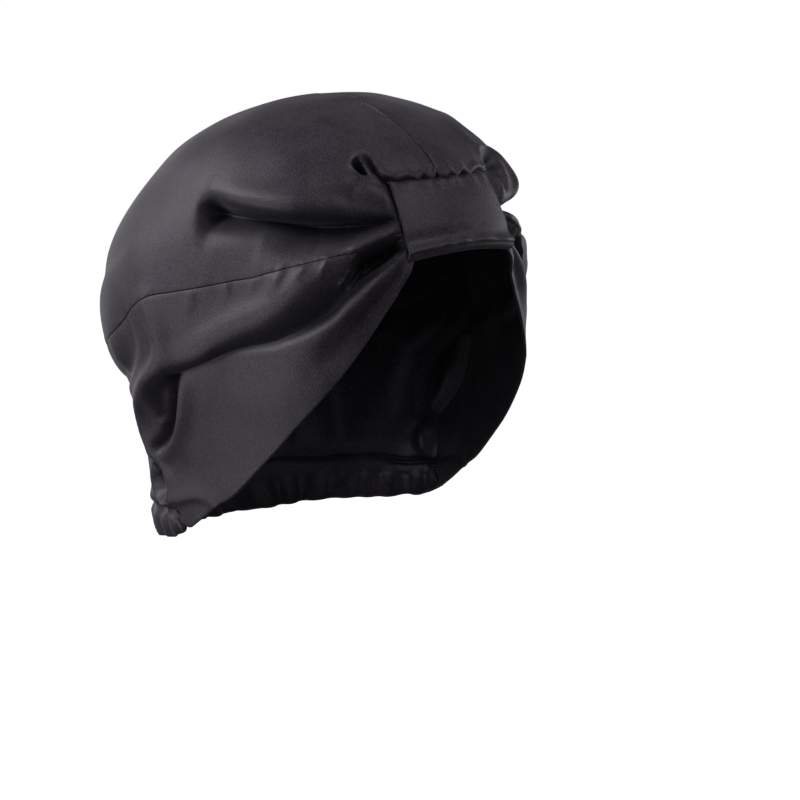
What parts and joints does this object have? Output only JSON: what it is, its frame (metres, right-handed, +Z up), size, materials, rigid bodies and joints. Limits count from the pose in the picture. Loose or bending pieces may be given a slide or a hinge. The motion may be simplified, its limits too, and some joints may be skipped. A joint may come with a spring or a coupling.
{
  "type": "bandana hat",
  "caption": "Pre-tied satin head wrap with a gathered crown, side bands, a flat loop at the forehead and an elastic casing at the nape.",
  "frame": {"origin": "inside of the crown, where the top of the head bears", "axes": "+Z up, -Y towards the wearer's front where the loop is, +X towards the wearer's left"},
  "size_m": [0.189, 0.229, 0.2254],
  "materials": {
    "satin": "black satin with a soft sheen"
  },
  "bodies": {
    "root": {"crown_right": "satin", "crown_left": "satin", "side_band_right": "satin", "side_band_left": "satin", "knot_loop": "satin", "nape_casing": "satin"}
  },
  "joints": []
}
